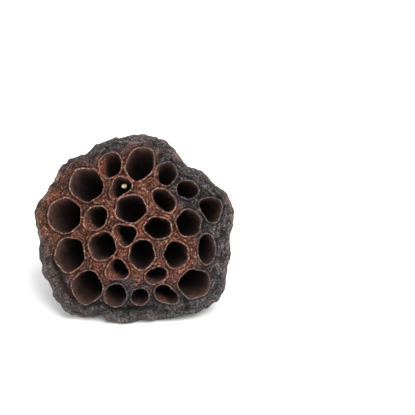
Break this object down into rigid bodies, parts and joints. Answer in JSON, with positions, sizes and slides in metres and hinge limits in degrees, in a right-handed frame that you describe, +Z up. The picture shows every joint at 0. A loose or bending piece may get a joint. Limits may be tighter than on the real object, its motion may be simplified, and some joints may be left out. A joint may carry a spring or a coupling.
{
  "type": "dried lotus pod",
  "caption": "Dried seed head of a lotus lying on its side: a funnel-shaped woody receptacle with open seed chambers across its face and a short cut stalk.",
  "frame": {"origin": "on the surface that the pod lies on, below the middle of its box", "axes": "+Z up, +X to the right across the face of seed chambers, -Y the way that the face looks, +Y towards the cut stalk"},
  "size_m": [0.0884, 0.071, 0.069],
  "materials": {
    "dry_husk": "rough, dry and wrinkled",
    "pale_seed": "matt, shrivelled"
  },
  "bodies": {
    "root": {"lotus_pod": "dry_husk", "undeveloped_seed": "pale_seed"}
  },
  "joints": []
}
